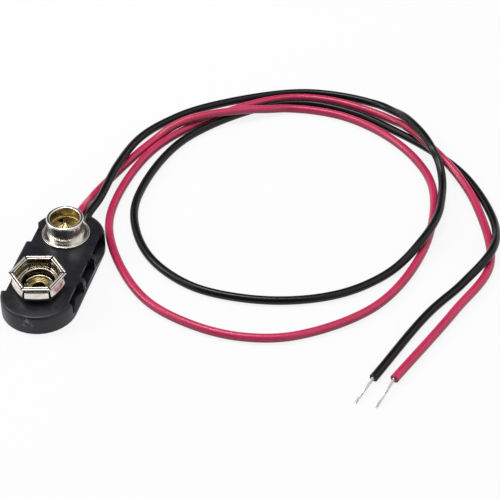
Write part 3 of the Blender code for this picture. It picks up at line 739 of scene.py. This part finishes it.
def socket_plan(angle, r, z):
    """Stretches the cup from round, near its floor, to six flat sides at its lip."""
    share = (r - SOCKET_STEP_RADIUS) / (SOCKET_WAIST_FLAT - SOCKET_STEP_RADIUS)
    share = min(max(share, 0.0), 1.0)
    above = (z - SOCKET_SHOULDER_HEIGHT) / (SOCKET_WAIST_HEIGHT - SOCKET_SHOULDER_HEIGHT)
    above = min(max(above, 0.0), 1.0)
    share *= SOCKET_SHOULDER_SQUARENESS + (1 - SOCKET_SHOULDER_SQUARENESS) * above
    side = 2 * pi / PETAL_COUNT
    off = (angle + side / 2) % side - side / 2
    return 1 + share * (1 / cos(off) - 1)


def socket_profile():
    """From the lip's dip over its outer bead, down the petal and the belly, and back up inside."""
    roll = SOCKET_SHEET / 2
    lip_top = SOCKET_HEIGHT - SOCKET_LIP_ROLL
    outer_bead = SOCKET_LIP_FLAT - SOCKET_LIP_ROLL
    inner_bead = SOCKET_LIP_FLAT - SOCKET_LIP_WIDTH + SOCKET_LIP_ROLL
    inner_waist = SOCKET_WAIST_FLAT - SOCKET_SHEET
    under_lip = SOCKET_LIP_FLAT - 2 * SOCKET_LIP_ROLL
    dip = SOCKET_HEIGHT - SOCKET_LIP_DIP
    profile = [(outer_bead - SOCKET_LIP_ROLL, dip)]
    profile += arc(outer_bead, lip_top, SOCKET_LIP_ROLL, 120, -60)
    profile.append((under_lip - SOCKET_LIP_ROLL, lip_top - SOCKET_LIP_TUCK))
    profile.append((SOCKET_WAIST_FLAT, SOCKET_WAIST_HEIGHT))
    profile.append((SOCKET_WAIST_FLAT, SOCKET_FACE_TOP + 0.2 * SOCKET_SHEET))
    bevel = 0.1 * SOCKET_SHEET
    profile.append((SOCKET_FACE_TOP_FLAT - bevel, SOCKET_FACE_TOP + bevel))
    face_top = Vector((SOCKET_FACE_TOP_FLAT, SOCKET_FACE_TOP))
    foot_z = SOCKET_SHOULDER_HEIGHT + 0.4 * SOCKET_SHEET
    face_foot = Vector((SOCKET_SHOULDER_FLAT - bevel, foot_z))
    profile += [tuple(face_top.lerp(face_foot, share)) for share in PETAL_ROWS]
    profile += arc(SOCKET_SHOULDER_FLAT - roll, SOCKET_SHOULDER_HEIGHT, roll, 20, 0, 2)
    spread = SOCKET_SHOULDER_FLAT - SOCKET_FLOOR_RADIUS
    for angle in SOCKET_BELLY_ANGLES:
        reach = SOCKET_FLOOR_RADIUS + spread * cos(radians(angle))
        profile.append((reach, SOCKET_SHOULDER_HEIGHT * (1 + sin(radians(angle)))))
    profile.append((EYELET_HOLE_RADIUS, 0.0))
    profile.append((EYELET_HOLE_RADIUS, SOCKET_SHEET))
    profile.append((SOCKET_RING_RADIUS - roll, SOCKET_SHEET))
    profile += arc(SOCKET_RING_RADIUS, SOCKET_RING_HEIGHT - roll, roll, 180, 0)
    profile.append((0.5 * (SOCKET_RING_RADIUS + SOCKET_STEP_RADIUS), SOCKET_SHEET))
    profile += arc(SOCKET_STEP_RADIUS, SOCKET_STEP_HEIGHT - roll, roll, 180, 0)
    profile.append((inner_waist - roll, SOCKET_SHOULDER_HEIGHT))
    profile += arc(inner_waist - roll, SOCKET_STEP_HEIGHT, roll, 300, 360, 3)
    profile += arc(inner_waist + SOCKET_BULGE, SOCKET_BULGE_HEIGHT, SOCKET_BULGE, 220, 130, 5)
    profile.append((inner_bead, lip_top - SOCKET_LIP_INNER_TUCK))
    profile += arc(inner_bead, lip_top, SOCKET_LIP_ROLL, 200, 60)
    profile.append((inner_bead + SOCKET_LIP_ROLL, dip))
    return profile


def slot_outline():
    """A slot between two petals: narrow at the lip, wide and round at its foot."""
    half = SLOT_LIP_WIDTH / 2
    outline = [(half, SOCKET_HEIGHT + SOCKET_LIP_FLAT), (half, SOCKET_WAIST_HEIGHT)]
    outline += arc(0.0, SLOT_FOOT_HEIGHT, SLOT_FOOT_WIDTH / 2, 30, -210, 2 * ARC_STEPS)
    outline += [(-half, SOCKET_WAIST_HEIGHT), (-half, SOCKET_HEIGHT + SOCKET_LIP_FLAT)]
    return outline


def build_socket(nickel, inside):
    """The cup, with a slot between each two petals and the gap in its floor's rings."""
    petal_edge = SOCKET_LIP_FLAT - SOCKET_LIP_WIDTH + SOCKET_LIP_ROLL / 2
    groove_top = SOCKET_STEP_HEIGHT - SOCKET_SHEET / 2

    # The petals' inner faces and the groove between the rings take the second paint, which is dark with
    # painted shade
    def is_inside(r, z):
        on_petal = r < petal_edge and z > SOCKET_STEP_HEIGHT
        in_groove = SOCKET_RING_RADIUS < r < SOCKET_STEP_RADIUS and z < groove_top
        return z < SOCKET_HEIGHT - 1.3 * SOCKET_LIP_ROLL and (on_petal or in_groove)

    place = Vector((CONTACT_X, SOCKET_Y, CONTACT_SEAT))
    cup = turned("socket_cup", socket_profile(), [nickel, inside], place, socket_plan, is_inside)
    cup.rotation_euler.z = SOCKET_TURN
    reach = 2 * SOCKET_LIP_FLAT
    for number in range(PETAL_COUNT):
        slot = prism("slot", slot_outline(), (SLOT_INNER, reach), inside)
        slot.location = place
        slot.rotation_euler.z = SOCKET_TURN + (number + 0.5) * 2 * pi / PETAL_COUNT
        cut(cup, slot)
    cut(cup, ring_gap(inside))
    return cup


def ring_gap(paint):
    """A cutter for the break at the left of the rings in the socket's floor."""
    low, high = RING_GAP_HEIGHTS
    half = RING_GAP_WIDTH / 2
    gap = prism("gap", [(-half, low), (half, low), (half, high), (-half, high)], RING_GAP_REACH, paint)
    gap.location = (CONTACT_X, SOCKET_Y, CONTACT_SEAT)
    gap.rotation_euler.z = RING_GAP_ANGLE
    return gap


def build_stud_eyelet(brass):
    """The eyelet's end, pressed down in petals like a low umbrella, with one wide gap."""
    floor = CONTACT_SEAT + STUD_FLOOR_HEIGHT
    upper = []
    for step in range(2 * ARC_STEPS + 1):
        share = step / (2 * ARC_STEPS)
        reach = CLOSED_BORE + share * (UMBRELLA_REACH - CLOSED_BORE)
        upper.append((reach, floor + UMBRELLA_RISE * (1 - share) ** UMBRELLA_CURVE))
    lower = [(r, z - EYELET_SHEET) for r, z in reversed(upper)]
    eyelet = turned("stud_eyelet_curl", upper + lower, [brass], (CONTACT_X, STUD_Y, 0.0))
    for angle, width in UMBRELLA_SPLITS:
        outline = [(-width / 2, floor + 2 * UMBRELLA_RISE), (-width / 2, floor - UMBRELLA_RISE)]
        outline += [(-y, z) for y, z in reversed(outline)]
        split = prism("split", outline, (2 * CLOSED_BORE, 2 * UMBRELLA_REACH), brass)
        split.location = (CONTACT_X, STUD_Y, 0.0)
        split.rotation_euler.z = radians(angle)
        cut(eyelet, split)
    apex_x, apex_y = GAP_APEX
    corners = [(apex_y, -apex_x)]
    beyond = 3 * UMBRELLA_REACH
    for angle in GAP_SIDES:
        corners.append((apex_y + beyond * sin(angle), -apex_x - beyond * cos(angle)))
    gap = prism("gap", corners, (floor - UMBRELLA_RISE, floor + 2 * UMBRELLA_RISE), brass)
    gap.location = (CONTACT_X, STUD_Y, 0.0)
    gap.rotation_euler.y = -pi / 2
    cut(eyelet, gap)
    return eyelet


def build_socket_eyelet(brass):
    """A plain eyelet with a rolled rim, which has the gap of the rings too."""
    bore = EYELET_STEM_RADIUS - EYELET_SHEET
    seat = CONTACT_SEAT + SOCKET_SHEET
    roll = EYELET_SHEET
    rim_r = SOCKET_EYELET_RIM - roll
    profile = arc(rim_r, seat + roll, roll, 120, -90)
    profile += [(EYELET_STEM_RADIUS, seat), (EYELET_STEM_RADIUS, EYELET_FOOT_Z), (bore, EYELET_FOOT_Z)]
    profile += arc(bore + roll, seat, roll, 180, 90, 4)
    profile += arc(SOCKET_EYELET_GROOVE, seat + SOCKET_EYELET_DIP, roll / 2, 230, 310, 3)
    eyelet = turned("socket_eyelet_rim", profile, [brass], (CONTACT_X, SOCKET_Y, 0.0))
    cut(eyelet, ring_gap(brass))
    return eyelet


def smooth_copy(node, paint):
    """The solid's own shape with its flats merged and its curves shaded smooth."""
    work = bmesh.new()
    work.from_mesh(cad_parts[node].data)
    bmesh.ops.remove_doubles(work, verts=work.verts, dist=WELD)
    bmesh.ops.dissolve_limit(work, angle_limit=FLAT_ANGLE, verts=work.verts, edges=work.edges)
    return add_piece(node + "_skin", work, [paint])


def light_path_share(tree):
    """1 for rays from the camera, a mirror or glass, and 0 for the rest."""
    path = tree.nodes.new("ShaderNodeLightPath")
    total = None
    for name in ("Is Camera Ray", "Is Glossy Ray", "Is Transmission Ray"):
        if total is None:
            total = path.outputs[name]
            continue
        made = tree.nodes.new("ShaderNodeMath")
        made.operation = "MAXIMUM"
        tree.links.new(total, made.inputs[0])
        tree.links.new(path.outputs[name], made.inputs[1])
        total = made.outputs[0]
    return total


def add_floor():
    """A pale floor that casts back light evenly, and that the camera sees mostly as a glow."""
    work = bmesh.new()
    bmesh.ops.create_grid(work, x_segments=1, y_segments=1, size=FLOOR_HALF_SIZE)
    material = bpy.data.materials.new("pale_floor")
    material.use_nodes = True
    tree = material.node_tree
    tree.nodes.clear()
    diffuse = tree.nodes.new("ShaderNodeBsdfDiffuse")
    diffuse.inputs["Color"].default_value = (FLOOR_SHADE, FLOOR_SHADE, FLOOR_SHADE, 1.0)
    glow = tree.nodes.new("ShaderNodeEmission")
    glow.inputs["Color"].default_value = (1.0, 1.0, 1.0, 1.0)
    scale = tree.nodes.new("ShaderNodeMath")
    scale.operation = "MULTIPLY"
    scale.inputs[1].default_value = FLOOR_GLOW
    blend = tree.nodes.new("ShaderNodeMixShader")
    output = tree.nodes.new("ShaderNodeOutputMaterial")
    tree.links.new(light_path_share(tree), scale.inputs[0])
    tree.links.new(scale.outputs[0], blend.inputs[0])
    tree.links.new(diffuse.outputs[0], blend.inputs[1])
    tree.links.new(glow.outputs[0], blend.inputs[2])
    tree.links.new(blend.outputs[0], output.inputs["Surface"])
    floor = add_piece("floor", work, [material], (0.0, 0.0, FLOOR_Z))


def add_world():
    """White to the camera. To the object a white room with dark patches, which give metal its
    contrast."""
    world = bpy.data.worlds.new("studio")
    bpy.context.scene.world = world
    world.use_nodes = True
    tree = world.node_tree
    background = tree.nodes["Background"]
    place = tree.nodes.new("ShaderNodeTexCoord")
    split = tree.nodes.new("ShaderNodeSeparateXYZ")
    ramp = tree.nodes.new("ShaderNodeValToRGB")
    fill_ramp(ramp.color_ramp, ROOM_LIGHT)
    path = tree.nodes.new("ShaderNodeLightPath")
    choose = tree.nodes.new("ShaderNodeMix")
    choose.data_type = "RGBA"
    choose.inputs[7].default_value = (1.0, 1.0, 1.0, 1.0)
    tree.links.new(place.outputs["Generated"], split.inputs[0])
    tree.links.new(split.outputs["Z"], ramp.inputs["Fac"])
    light = ramp.outputs["Color"]
    for direction, full, end, left in DARK_PATCHES:
        nearness = tree.nodes.new("ShaderNodeVectorMath")
        nearness.operation = "DOT_PRODUCT"
        nearness.inputs[1].default_value = direction
        tree.links.new(place.outputs["Generated"], nearness.inputs[0])
        share = smooth_step(tree, nearness.outputs["Value"], end, full, 1.0, left)
        dimmed = tree.nodes.new("ShaderNodeMath")
        dimmed.operation = "MULTIPLY"
        tree.links.new(light, dimmed.inputs[0])
        tree.links.new(share, dimmed.inputs[1])
        light = dimmed.outputs[0]
    tree.links.new(light, choose.inputs[6])
    tree.links.new(path.outputs["Is Camera Ray"], choose.inputs["Factor"])
    tree.links.new(choose.outputs[2], background.inputs["Color"])
    background.inputs["Strength"].default_value = 1.0


def add_lamp(name, place, size, power):
    """A white area lamp turned to the middle of the leads."""
    data = bpy.data.lights.new(name, "AREA")
    data.shape = "RECTANGLE"
    data.size, data.size_y = size
    data.energy = power
    lamp = bpy.data.objects.new(name, data)
    lamp.location = place
    aim = Vector(LAMP_AIM) - Vector(place)
    lamp.rotation_euler = aim.to_track_quat("-Z", "Y").to_euler()
    bpy.context.scene.collection.objects.link(lamp)


add_camera()
red_pvc = paint_insulation("red_insulation", *RED_PVC)
black_pvc = paint_insulation("black_insulation", *BLACK_PVC)
tinned = paint_tinned()
build_cord("black", BLACK_ROUTE, BLACK_LEAD_DIAMETER, BLACK_STRAND_TIP, black_pvc, tinned)
build_cord("red", RED_ROUTE, RED_LEAD_DIAMETER, RED_STRAND_TIP, red_pvc, tinned)

housing = paint_housing()
nickel = paint_nickel()
plate_in_shade = paint_plate_in_painted_shade()
brass = paint_brass()
dress(build_stud(nickel, brass), "stud_contact")
dress(build_socket(nickel, plate_in_shade), "socket_contact")
dress(build_stud_eyelet(brass), "stud_eyelet")
dress(build_socket_eyelet(brass), "socket_eyelet")
dress(smooth_copy("housing_shell", housing), "housing_shell")
dress(smooth_copy("back_cover", housing), "back_cover")

# Pieces that are hidden inside keep their solids and only take a material
for node in ("stud_tag", "socket_tag", "red_core", "black_core", "red_solder", "black_solder"):
    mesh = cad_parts[node].data
    mesh.materials.clear()
    mesh.materials.append(tinned)

add_floor()
add_world()
for lamp in LAMPS:
    add_lamp(*lamp)

bpy.context.scene.view_settings.view_transform = "Standard"
